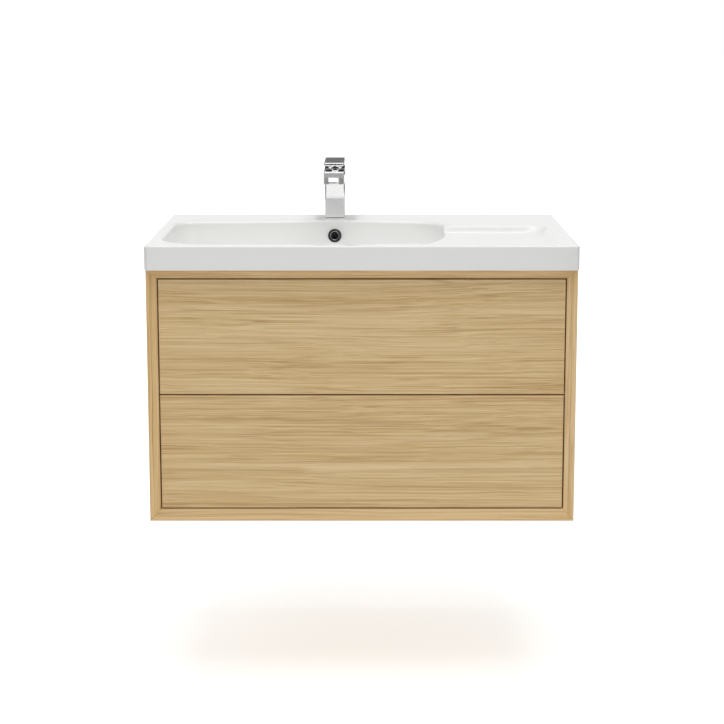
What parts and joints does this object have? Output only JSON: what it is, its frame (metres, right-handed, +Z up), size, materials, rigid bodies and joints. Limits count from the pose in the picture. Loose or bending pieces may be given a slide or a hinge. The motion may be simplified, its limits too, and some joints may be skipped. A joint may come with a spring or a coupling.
{
  "type": "floating vanity",
  "caption": "Wall-hung bathroom vanity with a bevelled oak frame, two push-to-open drawers, an inset-bowl basin with a shelf, and a single-lever tap.",
  "frame": {"origin": "centre of the four wall fixings, on the wall plane, halfway up the cabinet", "axes": "+X right, -Y towards the user, +Z up; the wall is the plane y = 0"},
  "size_m": [0.804, 0.465, 0.649],
  "materials": {
    "oak": "matt lacquered oak veneer with straight grain",
    "board": "white melamine-faced board",
    "zinc_steel": "zinc-plated pressed steel",
    "chrome": "polished chrome on brass",
    "basin_white": "smooth white glaze",
    "white_plastic": "moulded white polypropylene",
    "dark_plastic": "dark grey acetal",
    "seal_rubber": "black rubber"
  },
  "bodies": {
    "cabinet": {"side_panel_left": "oak", "side_panel_right": "oak", "bottom_panel": "oak", "front_rail": "oak", "rear_rail_upper": "board", "rear_rail_lower": "board", "cam_locks": "zinc_steel", "dowels": "oak", "hanger_bracket_left": "zinc_steel", "hanger_bracket_right": "zinc_steel", "bracket_screws": "zinc_steel", "cabinet_rails": "zinc_steel", "latch_housings": "white_plastic", "basin": "basin_white", "overflow_ring": "chrome", "waste_flange": "chrome", "waste_gasket": "seal_rubber", "waste_nut": "white_plastic", "trap_inlet_tube": "white_plastic", "trap_nuts": "white_plastic", "trap_body": "white_plastic", "trap_cup": "white_plastic", "trap_outlet_tube": "white_plastic", "wall_rosette": "white_plastic", "tap_body": "chrome", "tap_aerator": "chrome", "tap_cartridge": "white_plastic", "cartridge_nut": "zinc_steel", "tap_base_gasket": "seal_rubber", "tap_stud": "zinc_steel", "tap_horseshoe_washer": "zinc_steel", "tap_nut": "zinc_steel"},
    "upper_drawer": {"upper_front": "oak", "upper_side_left": "board", "upper_side_right": "board", "upper_back_left": "board", "upper_back_right": "board", "upper_trap_surround": "white_plastic", "upper_bottom": "board", "upper_drawer_rails": "zinc_steel", "upper_front_brackets": "zinc_steel"},
    "upper_runner_middle": {"upper_middle_rails": "zinc_steel", "upper_ball_cages": "zinc_steel"},
    "upper_ejectors": {"upper_latch_plungers": "dark_plastic"},
    "lower_drawer": {"lower_front": "oak", "lower_side_left": "board", "lower_side_right": "board", "lower_back": "board", "lower_bottom": "board", "lower_drawer_rails": "zinc_steel", "lower_front_brackets": "zinc_steel"},
    "lower_runner_middle": {"lower_middle_rails": "zinc_steel", "lower_ball_cages": "zinc_steel"},
    "lower_ejectors": {"lower_latch_plungers": "dark_plastic"},
    "spindle": {"tap_spindle": "zinc_steel", "tap_dome": "chrome", "lever_pin": "zinc_steel"},
    "lever": {"tap_lever": "chrome"},
    "plug": {"waste_plug": "chrome"}
  },
  "joints": [
    {"name": "upper_drawer_slide", "type": "slide", "parent": "cabinet", "child": "upper_drawer", "axis": [0, -1, 0], "range_m": [-0.003, 0.36]},
    {"name": "upper_runner_slide", "type": "slide", "parent": "cabinet", "child": "upper_runner_middle", "axis": [0, -1, 0], "range_m": [-0.0015, 0.18]},
    {"name": "upper_ejector_slide", "type": "slide", "parent": "cabinet", "child": "upper_ejectors", "axis": [0, -1, 0], "range_m": [-0.0001, 0.0108]},
    {"name": "lower_drawer_slide", "type": "slide", "parent": "cabinet", "child": "lower_drawer", "axis": [0, -1, 0], "range_m": [-0.003, 0.36]},
    {"name": "lower_runner_slide", "type": "slide", "parent": "cabinet", "child": "lower_runner_middle", "axis": [0, -1, 0], "range_m": [-0.0015, 0.18]},
    {"name": "lower_ejector_slide", "type": "slide", "parent": "cabinet", "child": "lower_ejectors", "axis": [0, -1, 0], "range_m": [-0.0001, 0.0108]},
    {"name": "lever_swivel", "type": "hinge", "parent": "cabinet", "child": "spindle", "pos_m": [-0.057, -0.041, 0.385], "axis": [0, 0, 1], "range_deg": [-45, 45]},
    {"name": "lever_lift", "type": "hinge", "parent": "spindle", "child": "lever", "pos_m": [-0.057, -0.041, 0.385], "axis": [-1, 0, 0], "range_deg": [0, 20]},
    {"name": "plug_press", "type": "slide", "parent": "cabinet", "child": "plug", "axis": [0, 0, 1], "range_m": [0, 0.008]}
  ],
  "couplings": [
    {"joint": "upper_runner_slide", "follows": "upper_drawer_slide", "ratio": 0.5},
    {"joint": "upper_ejector_slide", "follows": "upper_drawer_slide", "ratio": 0.03},
    {"joint": "lower_runner_slide", "follows": "lower_drawer_slide", "ratio": 0.5},
    {"joint": "lower_ejector_slide", "follows": "lower_drawer_slide", "ratio": 0.03}
  ]
}
